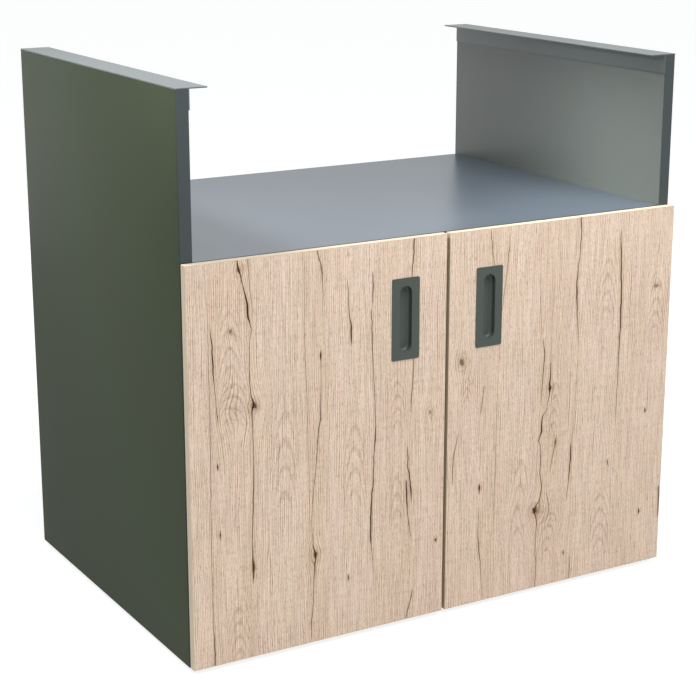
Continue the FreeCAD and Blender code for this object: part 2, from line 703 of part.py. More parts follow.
# Catches: a magnet housing under the deck's front flange and a steel strike on the door
catch_x = ("size.catch_offset - size.strike_width / 2", "size.catch_offset + size.strike_width / 2")
catch_z = ("place.shelf_low - size.catch_height", "place.shelf_low")
strike_face = "place.door_back + size.strike_thick"
strike = block("right_strike", catch_x, ("place.door_back", strike_face), catch_z)
catch_start = f"{strike_face} + size.catch_gap"
catch = block("right_catch", catch_x, (catch_start, "place.side_front + size.catch_depth"), catch_z)

buffer_x = "place.door_inside + size.buffer_inset"
buffer_length = "size.door_gap - size.pad_play"
door_buffers = gathered("right_door_buffers", [
    bar("low_buffer", (buffer_x, "place.door_back", "place.side_low + size.base_height / 2"), "+y",
        "size.buffer_radius", buffer_length),
    bar("high_buffer", (buffer_x, "place.door_back", "place.shelf_top - size.shelf_flange / 2"), "+y",
        "size.buffer_radius", buffer_length),
])

# The finished pieces: right-hand ones with their twins, then those that are on both sides
right_hand = [
    outer_pan, inner_skin, ribs, rail, *feet, door_board, edging, pull,
    *hinge_cups, *hinge_pins, *hinge_arms, *hinge_plates, strike, catch, door_buffers,
    gathered("right_cup_screws", cup_screws),
]
pieces = right_hand + [mirrored(piece.Name.replace("right", "left"), piece) for piece in right_hand]
pieces += [
    shelf, grommet, base_floor, rear_panel,
    gathered("foot_nuts", nuts),
    gathered("shelf_screws", shelf_screws),
    gathered("floor_screws", floor_screws),
    gathered("rear_panel_screws", rear_screws),
    gathered("hinge_plate_screws", plate_screws),
    gathered("hinge_arm_screws", arm_screws),
]
doc.recompute()

faults = [item.Name for item in doc.Objects if "Invalid" in item.State or "Error" in item.State]
faults += [piece.Label for piece in pieces if piece.Shape.isNull() or not piece.Shape.isValid()]
if faults:
    raise RuntimeError("not built: " + ", ".join(faults))

os.makedirs("parts", exist_ok=True)
for piece in pieces:
    piece.Shape.exportStep(f"parts/{piece.Label}.step")
    print(f"{piece.Label}: {len(piece.Shape.Solids)} solid(s), {piece.Shape.Volume / 1000:.1f} cm3")
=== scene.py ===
"""Looks of an outdoor kitchen base cabinet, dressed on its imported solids.

Metres, in the solids' own frame: the cabinet stands on z = 0, its doors face -Y, and its width runs along X.
"""
import json
import math

import bmesh
import bpy
from mathutils import Matrix, Vector

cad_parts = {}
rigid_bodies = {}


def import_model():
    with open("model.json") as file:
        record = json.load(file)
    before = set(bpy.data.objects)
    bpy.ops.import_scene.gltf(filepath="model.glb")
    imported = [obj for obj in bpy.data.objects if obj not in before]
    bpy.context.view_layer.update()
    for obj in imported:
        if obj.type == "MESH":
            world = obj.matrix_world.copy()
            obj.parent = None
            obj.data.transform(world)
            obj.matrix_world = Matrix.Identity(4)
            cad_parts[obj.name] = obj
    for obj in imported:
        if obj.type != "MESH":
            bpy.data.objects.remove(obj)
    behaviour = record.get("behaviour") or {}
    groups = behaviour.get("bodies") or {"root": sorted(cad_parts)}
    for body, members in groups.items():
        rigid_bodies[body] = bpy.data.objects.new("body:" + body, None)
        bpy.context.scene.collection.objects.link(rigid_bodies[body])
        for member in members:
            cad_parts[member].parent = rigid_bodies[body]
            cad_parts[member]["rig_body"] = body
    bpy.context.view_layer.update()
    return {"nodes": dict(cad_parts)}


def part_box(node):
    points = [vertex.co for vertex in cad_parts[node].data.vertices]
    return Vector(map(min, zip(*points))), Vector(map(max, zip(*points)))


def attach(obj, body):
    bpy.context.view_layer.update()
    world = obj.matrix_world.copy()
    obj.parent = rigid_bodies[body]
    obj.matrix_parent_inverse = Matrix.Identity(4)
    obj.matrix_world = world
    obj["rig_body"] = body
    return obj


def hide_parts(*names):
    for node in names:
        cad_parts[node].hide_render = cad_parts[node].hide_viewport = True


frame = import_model()


# Side walls
# Each wall is a pan folded from 1.5 mm sheet steel, closed inside by a spot-welded sheet over two channels.
# It is sprayed with one satin powder coat that leaves a faint orange peel.
# Its olive outside and grey inside are painted shade and light: a shaded and a lit copy of the one coat.


class Flow:
    """A socket of a node tree; arithmetic on it adds the Math nodes that it needs."""

    def __init__(self, tree, socket):
        self.tree = tree
        self.socket = socket

    def __add__(self, other):
        return self.tree.maths("ADD", self, other)

    def __sub__(self, other):
        return self.tree.maths("SUBTRACT", self, other)

    def __rsub__(self, other):
        return self.tree.maths("SUBTRACT", other, self)

    def __mul__(self, other):
        return self.tree.maths("MULTIPLY", self, other)

    def __truediv__(self, other):
        return self.tree.maths("DIVIDE", self, other)

    def __abs__(self):
        return self.tree.maths("ABSOLUTE", self)

    __radd__ = __add__
    __rmul__ = __mul__


class Tree:
    """A node tree in the making, for a finish, the studio or a repeated shape."""

    def __init__(self, data):
        self.data = data

    def pick(self, sockets, key):
        """A socket by its number or its name, or the first one in use."""
        if isinstance(key, int):
            return sockets[key]
        return next((each for each in sockets if each.enabled and key in (None, each.name)), None)

    def node(self, kind, settings=None, sockets=None, output=None):
        """A new node: its settings are set first, then the values or links of its sockets."""
        made = self.data.nodes.new(kind)
        for name, value in (settings or {}).items():
            if name == "points":
                line = made.mapping.curves[0].points
                for spot in value[1:-1]:
                    line.new(*spot)
                for corner, spot in zip(line, value):
                    corner.location = spot
                    corner.handle_type = "VECTOR"
                made.mapping.update()
            else:
                setattr(made, name, value)
        for name, value in (sockets or {}).items():
            socket = self.pick(made.inputs, name)
            if isinstance(value, Flow):
                value = (value,)
            if isinstance(value, tuple) and isinstance(value[0], Flow):
                for each in value:
                    self.data.links.new(each.socket, socket)
            else:
                socket.default_value = value
        return Flow(self, self.pick(made.outputs, output))

    def maths(self, operation, *values):
        """What a Math node makes of these values."""
        return self.node("ShaderNodeMath", {"operation": operation}, dict(enumerate(values)))

    def smooth(self, value, low, high):
        """0 below low, 1 above high and an S between them; low may be the larger of the two."""
        kind = {"interpolation_type": "SMOOTHSTEP"}
        return self.node("ShaderNodeMapRange", kind, {"Value": value, "From Min": low, "From Max": high})


class Finish(Tree):
    """A material in the making; plain numbers go straight to its shader's sockets."""

    def __init__(self, name, plain):
        self.material = bpy.data.materials.new(name)
        self.material.use_nodes = True
        super().__init__(self.material.node_tree)
        self.shader = self.data.nodes["Principled BSDF"]
        for socket, value in plain.items():
            self.shader.inputs[socket].default_value = value
        self.place = self.node("ShaderNodeTexCoord", output="Object")

    def feed(self, socket, value):
        """Leads what changes over the surface to the shader."""
        self.data.links.new(value.socket, self.shader.inputs[socket])

    def along(self, axis):
        """The place on the piece along one axis, in metres."""
        return self.node("ShaderNodeSeparateXYZ", {}, {"Vector": self.place}, axis)

    def noise(self, stretch, detail=2.0, where=None):
        """Soft blots from 0 to 1, with this many to each unit of length along x, y and z."""
        spot = self.node("ShaderNodeMapping", {}, {"Vector": where or self.place, "Scale": stretch})
        return self.node("ShaderNodeTexNoise", {}, {"Vector": spot, "Scale": 1.0, "Detail": detail}, 0)

    def mix(self, share, first, second):
        """A colour between two."""
        sockets = {"Factor": share, "A": first, "B": second}
        return self.node("ShaderNodeMix", {"data_type": "RGBA", "clamp_factor": True}, sockets)

    def relief(self, height, depth):
        """Lets a height from 0 to 1 stand this many metres proud of the surface."""
        self.feed("Normal", self.node("ShaderNodeBump", {}, {"Height": height, "Distance": depth}))


def shade(code):
    """The colour that a swatch such as #4a5141 gives, as the shader takes it."""
    parts = [int(code[at:at + 2], 16) / 255 for at in (1, 3, 5)]
    return [part / 12.92 if part < 0.04 else ((part + 0.055) / 1.055) ** 2.4 for part in parts] + [1.0]


def powder_coat(name, dark, light, gloss, bend, folded=None, fold_light_and_shade=None, fold=0.0014):
    """A sprayed and baked coat: cloudy by a few per cent, with an orange peel of about a millimetre.

    Its gloss is a roughness and its bend a refractive index. The faces that a node named as folded turns to
    the front and to the back get painted light and shade of their own, which fade out where the fold ends.
    """
    coat = Finish(name, {"IOR": bend})
    cloud = coat.noise((7, 7, 7), 3.0)
    peel = coat.noise((900, 900, 900), 1.0)
    peel_depth = 0.00001
    colour = coat.mix(cloud * 0.7 + peel * 0.3, shade(dark), shade(light))
    # Painted light and shade: the folded faces take a colour of their own for how the light falls on them.
    if folded:
        low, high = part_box(folded)
        depth = coat.along("Y")
        inside = coat.maths("MINIMUM", depth - low.y, high.y - depth)
        colour = coat.mix(coat.smooth(inside, fold, fold * 0.3), colour, shade(fold_light_and_shade))
    coat.feed("Base Color", colour)
    coat.feed("Roughness", gloss - 0.04 + cloud * 0.05 + peel * 0.03)
    coat.relief(peel, peel_depth)
    return coat.material


same_point = 0.000002
flat_angle = math.radians(0.3)
sharp_angle = math.radians(35)


def merged(node):
    """A copy of a node's loose triangles as one form, with shared corner points."""
    form = bmesh.new()
    form.from_mesh(frame["nodes"][node].data)
    bmesh.ops.remove_doubles(form, verts=form.verts, dist=same_point)
    return form


def dressed(piece, node, finish):
    """Turns a piece's modifiers into its mesh, and puts it in a node's place."""
    ready = piece.evaluated_get(bpy.context.evaluated_depsgraph_get())
    mesh = bpy.data.meshes.new_from_object(ready)
    piece.modifiers.clear()
    piece.data = mesh
    mesh.materials.clear()
    mesh.materials.append(finish)
    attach(piece, frame["nodes"][node]["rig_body"])
    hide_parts(node)


def softened(node, finish, edge):
    """Shows a node's solids in this finish, their sharp edges rounded over by this width."""
    form = merged(node)
    limits = {"angle_face_threshold": flat_angle, "angle_shape_threshold": math.pi}
    bmesh.ops.join_triangles(form, faces=form.faces, **limits)
    form.verts.index_update()
    corners = [vert.co.copy() for vert in form.verts]
    faces = [[vert.index for vert in face.verts] for face in form.faces]
    form.free()
    mesh = bpy.data.meshes.new(node + "_sharp")
    mesh.from_pydata(corners, [], faces)
    mesh.shade_smooth()
    piece = bpy.data.objects.new(node + "_piece", mesh)
    bpy.context.scene.collection.objects.link(piece)
    edges = piece.modifiers.new("edges", "BEVEL")
    edges.width = edge
    edges.segments = 2
    edges.limit_method = "ANGLE"
    edges.angle_limit = sharp_angle
    edges.harden_normals = True
    dressed(piece, node, finish)


# Painted shade: the dark olive copy of the coat stands in for the shade on the walls' outer faces,
# and the lighter, cooler grey on their folds at the front and back is painted light.
shaded_outer_coat = powder_coat(
    "shaded_outer_coat", "#36402d", "#3d4534", gloss=0.44, bend=1.13,
    folded="left_outer_skin", fold_light_and_shade="#484f50",
)
sheet_coat = powder_coat("sheet_coat", "#424947", "#4a514f", gloss=0.42, bend=1.36)
# Painted light: a lighter grey copy of the same coat stands in for the light that falls inside the walls.
lit_inner_coat = powder_coat("lit_inner_coat", "#575c58", "#5f6561", gloss=0.40, bend=1.36)
for side in ("left", "right"):
    softened(side + "_outer_skin", shaded_outer_coat, edge=0.0010)
    softened(side + "_inner_skin", lit_inner_coat, edge=0.0004)
    softened(side + "_stiffeners", sheet_coat, edge=0.0004)


# Top rails
# A rail caps each wall: a 2 mm plate that reaches 30 mm inwards, with a short leg down the wall's inner face.
# It is made of sheet steel, welded to the wall and coated; a drop-in grill hangs on the pair.
rail_coat = powder_coat("rail_coat", "#525a5b", "#5a6262", gloss=0.36, bend=1.42)
for side in ("left", "right"):
    softened(side + "_top_rail", rail_coat, edge=0.0005)


# Deck and hose grommet
# The deck is a sheet tray with flanges turned down, screwed to both walls level with the tops of the doors.
# Its coat is glossier than the walls'; its cooler blue-grey is a painted reflection of a pale sky.
# A moulded rubber grommet lines its hose hole.
# Painted shadow: the darker flanges at its front and back stand in for the shade in the gap behind the doors.
deck_coat = powder_coat(
    "deck_coat", "#4d565f", "#545d66", gloss=0.34, bend=1.50,
    folded="upper_shelf", fold_light_and_shade="#2a3032", fold=0.0022,
)
softened("upper_shelf", deck_coat, edge=0.0003)


def moulded(name, dark, light, gloss, grain):
    """A moulded plastic or rubber with the fine grain of its mould, in dots to the metre."""
    skin = Finish(name, {"IOR": 1.5})
    pits = skin.noise((grain, grain, grain), 2.0)
    pit_depth = 0.00004
    cloud = skin.noise((40, 40, 40))
    skin.feed("Base Color", skin.mix(cloud, shade(dark), shade(light)))
    skin.feed("Roughness", gloss + pits * 0.12)
    skin.relief(pits, pit_depth)
    return skin.material


rubber = moulded("rubber", "#191919", "#212121", gloss=0.62, grain=900)
softened("hose_grommet", rubber, edge=0.0008)


# Floor tray and rear sheet
# The floor is a tray turned upside down, with 40 mm flanges screwed to both walls; it carries the feet.
# The rear sheet closes the back, screwed to the deck's flange and through its own folded foot to the floor.
# Both are coated sheet steel; seven slots in the rear sheet let gas and heat out near the floor.
softened("base_floor", sheet_coat, edge=0.0006)
softened("rear_panel", sheet_coat, edge=0.0004)


# Screws
# Pan-head screws hold the deck, the floor tray and the rear sheet.
# They are zinc-plated steel with a rolled thread; each head is a low dome with a cross recess.


def plated(name, dark, light, gloss):
    """A plated steel: faint rolling lines and cloudy patches."""
    metal = Finish(name, {"Metallic": 1.0})
    roll = metal.noise((60, 900, 900), 2.0)
    roll_depth = 0.00001
    cloud = metal.noise((120, 120, 120), 2.0)
    metal.feed("Base Color", metal.mix(cloud, shade(dark), shade(light)))
    metal.feed("Roughness", gloss + roll * 0.12 + cloud * 0.06)
    metal.relief(roll, roll_depth)
    return metal.material


def corner_places(tree):
    """The x, y and z of each corner point of the shape in hand."""
    place = tree.node("GeometryNodeInputPosition")
    return [tree.node("ShaderNodeSeparateXYZ", {}, {0: place}, axis) for axis in "XYZ"]


def thread(tree, radius, length, pitch):
    """A rod that hangs from z = 0, with a thread rolled into it in six steps to the turn."""
    steps = length / pitch * 6 + 0.5
    sizes = {"Vertices": 16, "Side Segments": steps, "Radius": radius, "Depth": length}
    rod = tree.node("GeometryNodeMeshCylinder", {}, sizes)
    x, y, z = corner_places(tree)
    turn = tree.maths("ARCTAN2", y, x) / (2 * math.pi)
    wave = tree.maths("FRACT", z / pitch - turn) - 0.5
    squeeze = 1 - abs(wave) * pitch / radius
    rolled = tree.node("ShaderNodeCombineXYZ", {}, {"X": x * squeeze, "Y": y * squeeze, "Z": z - length / 2})
    return tree.node("GeometryNodeSetPosition", {}, {"Geometry": rod, "Position": rolled})


def pan_head(tree, wide, tall, thin, length, pitch):
    """One screw, its head standing on z = 0: a dome less a cross, over a threaded shank."""
    sizes = {"Vertices": 24, "Side Segments": 3, "Fill Segments": 4, "Radius": wide, "Depth": tall}
    blank = tree.node("GeometryNodeMeshCylinder", {"fill_type": "TRIANGLE_FAN"}, sizes)
    x, y, z = corner_places(tree)
    rim = (x * x + y * y) / (wide * wide)
    lift = tall * 0.5 - tree.smooth(z, 0.0, tall * 0.5) * rim * tall * 0.45
    raised = tree.node("ShaderNodeCombineXYZ", {}, {"Z": lift})
    dome = tree.node("GeometryNodeSetPosition", {}, {"Geometry": blank, "Offset": raised})
    top = tree.node("ShaderNodeCombineXYZ", {}, {"Z": tall})
    recess_length, recess_width = 1.10, 0.26
    bars = []
    for along, across in ((recess_length, recess_width), (recess_width, recess_length)):
        size = tree.node("ShaderNodeCombineXYZ", {}, {"X": wide * along, "Y": wide * across, "Z": tall})
        bar = tree.node("GeometryNodeMeshCube", {}, {"Size": size})
        bars.append(tree.node("GeometryNodeTransform", {}, {"Geometry": bar, "Translation": top}))
    together = {"operation": "UNION", "solver": "EXACT"}
    cross = tree.node("GeometryNodeMeshBoolean", together, {"Mesh": tuple(bars)})
    cut_out = {"operation": "DIFFERENCE", "solver": "EXACT"}
    head = tree.node("GeometryNodeMeshBoolean", cut_out, {"Mesh 1": dome, "Mesh 2": cross})
    shank = thread(tree, thin, length, pitch)
    return tree.node("GeometryNodeJoinGeometry", {}, {"Geometry": (head, shank)})


def repeated(name, sizes, shape):
    """A tree that sets a shape on each point, turned to the point's facing; its sizes are named inputs."""
    group = bpy.data.node_groups.new(name, "GeometryNodeTree")
    tree = Tree(group)
    group.interface.new_socket("Points", in_out="INPUT", socket_type="NodeSocketGeometry")
    for size in sizes:
        group.interface.new_socket(size, in_out="INPUT", socket_type="NodeSocketFloat")
    group.interface.new_socket("Finish", in_out="INPUT", socket_type="NodeSocketMaterial")
    group.interface.new_socket("Pieces", in_out="OUTPUT", socket_type="NodeSocketGeometry")
    given = {each: tree.node("NodeGroupInput", output=each) for each in ("Points", "Finish", *sizes)}
    facing = tree.node("GeometryNodeInputNamedAttribute", {"data_type": "FLOAT_VECTOR"}, {"Name": "facing"})
    turned = tree.node("FunctionNodeAlignRotationToVector", {"axis": "Z"}, {"Vector": facing})
    made = shape(tree, *(given[size] for size in sizes))
    sockets = {"Points": given["Points"], "Instance": made, "Rotation": turned}
    placed = tree.node("GeometryNodeInstanceOnPoints", {}, sockets)
    real = tree.node("GeometryNodeRealizeInstances", {}, {"Geometry": placed})
    plain = tree.node("GeometryNodeSetMaterial", {}, {"Geometry": real, "Material": given["Finish"]})
    tree.node("NodeGroupOutput", {}, {"Pieces": plain})
    return group


screw_sizes = ("Head Radius", "Head Height", "Shank Radius", "Shank Length", "Pitch")
screw = repeated("pan_head_screw", screw_sizes, pan_head)
crease = math.radians(38)


def fasteners(node, tree, sizes, spots, finish):
    """Sets a tree's shape on spots, each a place and the way it faces, in a node's place."""
    mesh = bpy.data.meshes.new(node + "_points")
    mesh.from_pydata([place for place, way in spots], [], [])
    facing = mesh.attributes.new("facing", "FLOAT_VECTOR", "POINT")
    facing.data.foreach_set("vector", [value for place, way in spots for value in way])
    piece = bpy.data.objects.new(node + "_piece", mesh)
    bpy.context.scene.collection.objects.link(piece)
    maker = piece.modifiers.new("maker", "NODES")
    maker.node_group = tree
    given = {**sizes, "Finish": finish}
    for socket in tree.interface.items_tree:
        if socket.name in given:
            maker[socket.identifier] = given[socket.name]
    dressed(piece, node, finish)
    piece.data.shade_smooth()
    piece.data.set_sharp_from_angle(angle=crease)


def solids_of(node):
    """The corner points of each separate solid of a node."""
    form = merged(node)
    form.verts.index_update()
    seen = set()
    solids = []
    for start in form.verts:
        if start.index in seen:
            continue
        found = [start]
        seen.add(start.index)
        for vert in found:
            for edge in vert.link_edges:
                beside = edge.other_vert(vert)
                if beside.index not in seen:
                    seen.add(beside.index)
                    found.append(beside)
        solids.append([vert.co.copy() for vert in found])
    form.free()
    return solids


def screws(node, finish, pitch):
    """Shows a node's screws; their one size, their places and directions are read from its solids."""
    brim_share = 0.98
    below_seat = 0.00001
    decimals = 6
    spots = []
    for points in solids_of(node):
        low, high = Vector(map(min, *points)), Vector(map(max, *points))
        middle = (low + high) / 2
        longest = max(range(3), key=lambda axis: high[axis] - low[axis])
        way = Vector([float(axis == longest) for axis in range(3)])
        reach = [(point - middle - way * way.dot(point - middle)).length for point in points]
        brim = [way.dot(point) for point, out in zip(points, reach) if out > brim_share * max(reach)]
        if sum(brim) / len(brim) < way.dot(middle):
            way = -way
        depths = [way.dot(point) for point in points]
        seat = min(depth for depth, out in zip(depths, reach) if out > brim_share * max(reach))
        shank = max(out for depth, out in zip(depths, reach) if depth < seat - below_seat)
        spots.append((middle + way * (seat - way.dot(middle)), way))
    sizes = {
        "Head Radius": round(max(reach), decimals),
        "Head Height": round(max(depths) - seat, decimals),
        "Shank Radius": round(shank, decimals),
        "Shank Length": round(seat - min(depths), decimals),
        "Pitch": pitch,
    }
    fasteners(node, screw, sizes, spots, finish)


zinc = plated("zinc", "#9fa3a6", "#bcc0c3", gloss=0.34)
for group in ("shelf_screws", "floor_screws", "rear_panel_screws"):
    screws(group, zinc, pitch=0.0010)


# Doors
# Each door is a 13 mm board faced with a rustic oak decor, its grain upright, with a pale band on its edges.
# The board hangs in front of the walls and ends 3 mm off the cabinet's middle.
# Cracks, knots and arches of the growth rings sit where the decor has them.


def oak(name, board, lanes, knots, arches, planks):
    """The decor of one board: lanes of cracks, knots and plank tints, in millimetres of the cabinet's frame.

    A lane runs up the board as (height, across, half width).
    A knot is (across, height, wide, tall, darkness).
    Nested arches of the growth rings are (across, height, wide, tall).
    A plank tint is (across, share of tan).
    """
    wood = Finish(name, {"IOR": 1.25})
    low, high = (corner * 1000 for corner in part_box(board))
    breadth = high.x - low.x
    rise = high.z - low.z
    across = wood.along("X") * 1000
    height = wood.along("Z") * 1000
    up = (height - low.z) / rise

    def grained(line, stretch, detail):
        """Blots laid out by a line across the board and by the height."""
        spot = wood.node("ShaderNodeCombineXYZ", {}, {"X": line, "Z": height})
        return wood.noise(stretch, detail, spot)

    def lined(value, width):
        """1 on a thin line in the middle of each whole step of a value, 0 from this far off."""
        return wood.smooth(abs(wood.maths("FRACT", value) - 0.5), width, 0.0)

    def curve(points, value):
        """A height along a chain of straight runs."""
        return wood.node("ShaderNodeFloatCurve", {"points": points}, {"Value": value})

    # The grain sways up the board and runs round each knot.
    sway = grained(across, (0.007, 0, 0.0022), 2.0)
    shiver = grained(across, (0.05, 0, 0.035), 2.0)
    grain = across + (sway - 0.5) * 26 + (shiver - 0.5) * 2.0
    spots = []
    for x, z, wide, tall, darkness in knots:
        aside = (across - x) / wide
        along = (height - z) / tall
        near = aside * aside + along * along
        spots.append((near, darkness))
        fade = wood.maths("EXPONENT", near * -0.11)
        grain = grain - aside * fade * (wide * 0.8)

    # Planks and streaks set the ground tone, between pale and tan.
    edge = [(min(max((x - low.x) / breadth, 0), 1), share) for x, share in planks]
    plank = curve(edge, (across + (sway - 0.5) * 12 - low.x) / breadth)
    streak = grained(grain, (0.11, 0, 0.0035), 4.0)
    tone = wood.smooth(plank * 0.70 + streak * 0.25, 0.0, 0.8)
    blush = wood.smooth(grained(across, (0.032, 0, 0.005), 2.0), 0.38, 0.62)
    pale = wood.mix(blush, shade("#f1dccd"), shade("#f0dcca"))
    tan = wood.mix(blush, shade("#e6cfbd"), shade("#e5cfba"))
    colour = wood.mix(tone, pale, tan)

    # Fibres, flecks, pores and fine lines of the growth rings darken it.
    fibre = grained(grain, (0.75, 0, 0.016), 3.0)
    curl = grain + (grained(across, (0.10, 0, 0.07), 2.0) - 0.5) * 3
    fleck = grained(curl, (0.50, 0, 0.06), 3.0)
    pore = wood.smooth(grained(grain, (1.3, 0, 0.06), 1.0), 0.58, 0.70)
    nap = wood.smooth(grained(grain, (0.62, 0, 0.011), 1.0), 0.42, 0.66)
    speck = wood.smooth(grained(grain, (0.62, 0, 0.20), 1.0), 0.46, 0.66)
    even = grain * 0.30 + grained(grain, (0.035, 0, 0.004), 1.0) * 2.4
    even = even + grained(grain, (0.21, 0, 0.009), 1.0) * 1.2
    strong = wood.smooth(grained(grain, (0.10, 0, 0.009), 2.0), 0.26, 0.58)
    line = lined(even, 0.22) * strong
    ring = grained(grain, (0.022, 0, 0.0030), 1.0) * 26
    arch = lined(ring, 0.225) * wood.smooth(streak, 0.40, 0.62)
    marks = wood.smooth(fibre, 0.42, 0.75) * 0.14 + wood.smooth(fleck, 0.54, 0.72) * 0.12
    marks = marks + pore * 0.46 + arch * 0.08 + nap * 0.16 + line * 0.60 + speck * 0.20
    blot = (grained(across, (0.25, 0, 0.2), 3.0) - 0.5) * 2.2
    for x, z, wide, tall in arches:
        aside = (grain - x) / wide
        along = (height - z) / tall
        nest = (aside * aside + along) * 2.6 + blot * 0.3
        within = wood.smooth(abs(aside), 1.8, 0.5) * wood.smooth(abs(along), 1.2, 0.4)
        marks = marks + lined(nest, 0.24) * within * 0.26
    for near, darkness in spots:
        whirl = wood.maths("SQRT", near) * 1.3 + blot * 0.6
        marks = marks + lined(whirl, 0.25) * wood.smooth(near, 8.0, 1.0) * (darkness * 0.35)
    colour = wood.mix(marks, colour, shade("#987a60"))

    # Cracks and knots are dark, with a brown stain about them.
    wander = (grained(0.0, (1, 0, 0.05), 3.0) - 0.5) * 4
    widest = 4
    deep = 0.0
    stain = 0.0
    for lane in lanes:
        run = sorted(((z - low.z) / rise, x, half) for z, x, half in lane)
        path = [(z, (x - low.x) / breadth) for z, x, half in run]
        girth = [(z, half / widest) for z, x, half in run]
        if run[0][0] > 0.01:
            path.insert(0, (0.0, path[0][1]))
            girth.insert(0, (0.0, 0.0))
        if run[-1][0] < 0.99:
            path.append((1.0, path[-1][1]))
            girth.append((1.0, 0.0))
        middle = curve(path, up) * breadth + low.x
        half = curve(girth, up) * widest
        off = abs(across + wander - middle)
        deep = wood.maths("MAXIMUM", deep, wood.smooth(off, half * 1.45 + 0.01, half * 0.7))
        stain = wood.maths("MAXIMUM", stain, wood.smooth(off, 7.0, 0.0) * half)
    for near, darkness in spots:
        deep = wood.maths("MAXIMUM", deep, wood.smooth(near + blot, 1.1, 0.1) * darkness)
        stain = wood.maths("MAXIMUM", stain, wood.smooth(near, 9.0, 0.0) * darkness)
    colour = wood.mix(stain * 0.34, colour, shade("#a3805a"))
    colour = wood.mix(deep, colour, shade("#3a2209"))
    wood.feed("Base Color", colour)
    wood.feed("Roughness", 0.50 + fibre * 0.10 + deep * 0.2)
    grain_depth = 0.00012
    wood.relief(fibre * 0.25 - pore * 0.35 - deep * 1.6, grain_depth)
    return wood.material


left_lanes = [
    [(638, -419, 0.1), (560, -416, 0.15), (400, -415, 0.3), (300, -416, 0.3), (200, -417, 0.2),
     (70, -416, 0.3), (55, -415, 0.6), (30, -415, 0.7), (8, -415, 0.6)],
    [(545, -412, 0), (525, -410, 0.7), (495, -409, 1.0), (470, -408, 0.7), (455, -407, 0.4),
     (430, -405, 0.25), (405, -403, 0.5), (395, -403, 0), (335, -404, 0), (328, -404, 1.2),
     (321, -404, 0), (228, -402, 0), (220, -402, 1.1), (212, -402, 0)],
    [(637, -366, 0.6), (628, -365, 1.2), (622, -364, 1.7), (615, -362, 0.8), (600, -358, 0.5),
     (580, -353, 1.0), (565, -351, 1.5), (550, -350, 1.3), (540, -347, 0.6), (530, -344, 0.4),
     (515, -348, 0.25), (480, -349, 0.35), (450, -349, 0.4), (430, -347, 0.5), (420, -343, 1.2),
     (413, -343, 1.5), (406, -346, 0.9), (400, -346, 0.6), (380, -345, 0.4), (330, -344, 0.4),
     (290, -345, 0.5), (250, -346, 0.6), (200, -349, 0.4), (175, -348, 0.6), (160, -347, 1.4),
     (150, -347, 1.0), (140, -347, 0.8), (130, -349, 0)],
    [(637, -349, 0.35), (600, -347, 0.3), (560, -343, 0.25), (540, -342, 0)],
    [(635, -233, 0.5), (620, -229, 0.6), (605, -226, 0.7), (590, -225, 0.3), (570, -224, 0.2),
     (540, -225, 0), (485, -228, 0), (475, -228, 1.5), (466, -228, 0.4), (440, -228, 0.1),
     (400, -229, 0.4), (375, -229, 0.7), (355, -233, 0.6), (300, -237, 0.35), (250, -243, 0.3),
     (210, -246, 0.25), (175, -243, 0.3), (160, -240, 1.2), (155, -239, 1.8), (148, -239, 1.0),
     (140, -240, 0.7), (110, -242, 0.5), (70, -243, 0.35), (45, -247, 0.5), (20, -247, 0.3)],
    [(600, -256, 0.12), (500, -256, 0.25), (430, -253, 0.25), (300, -250, 0.18), (200, -249, 0.1)],
    [(590, -182, 0), (580, -181, 0.3), (560, -180, 0.4), (540, -179, 0.5), (520, -176, 0.7),
     (510, -175, 1.2), (495, -175, 1.0), (488, -175, 0.5), (480, -175, 0), (112, -180, 0),
     (104, -180, 1.1), (97, -180, 0)],
    [(595, -137, 0), (590, -137, 0.5), (570, -137, 0.8), (550, -137, 0.5), (540, -138, 0.15),
     (530, -139, 0.5), (500, -138, 0.6), (450, -136, 0.4), (400, -133, 0.4), (350, -131, 0.5),
     (330, -131, 0.9), (300, -134, 0.6), (250, -135, 0.7), (240, -137, 1.0), (200, -139, 1.1),
     (160, -139, 1.0), (150, -138, 0.4), (120, -135, 0.3), (100, -133, 0.15), (60, -134, 0)],
    [(637, -63, 0.9), (620, -64, 0.8), (600, -65, 0.7), (585, -67, 0.6), (577, -67, 0.5), (447, -62, 0.5),
     (420, -63, 0.6), (400, -64, 0.6), (380, -66, 0.5), (365, -66, 0.4), (355, -66, 0), (305, -72, 0),
     (300, -72, 0.5), (280, -71, 0.7), (270, -71, 0.7), (255, -68, 0.8), (230, -65, 1.1), (215, -64, 0.5),
     (205, -64, 0), (60, -61, 0), (55, -61, 0.5), (45, -62, 0.6), (35, -66, 0.6), (20, -70, 0.5),
     (10, -72, 0.4)],
    [(250, -74, 0), (245, -74, 0.9), (225, -73, 1.2), (190, -71, 0.5), (170, -67, 0.5), (155, -65, 0.4),
     (145, -64, 0)],
]
left_knots = [
    (-379, 532, 3, 5, 0.6), (-372, 412, 11, 14, 0.1), (-342, 413, 6, 6, 0.9), (-364, 622, 4, 5, 0.7),
    (-239, 155, 5, 7, 0.8), (-347, 156, 3, 8, 0.7), (-17, 135, 2.5, 3, 0.9), (-30, 353, 4, 5, 0.5),
]
left_arches = [
    (-378, 520, 22, 70), (-372, 425, 18, 45), (-92, 380, 20, 55), (-94, 215, 18, 70), (-172, 300, 22, 90),
    (-370, 60, 24, 60), (-290, 330, 26, 110),
]
left_planks = [
    (-450, 0.35), (-418, 0.35), (-414, 0.65), (-398, 0.5), (-366, 0.45), (-345, 0.65), (-330, 0.35),
    (-262, 0.3), (-252, 0.65), (-218, 0.7), (-210, 0.25), (-140, 0.25), (-130, 0.4), (-100, 0.55),
    (-60, 0.5), (-50, 0.3), (-3, 0.45),
]
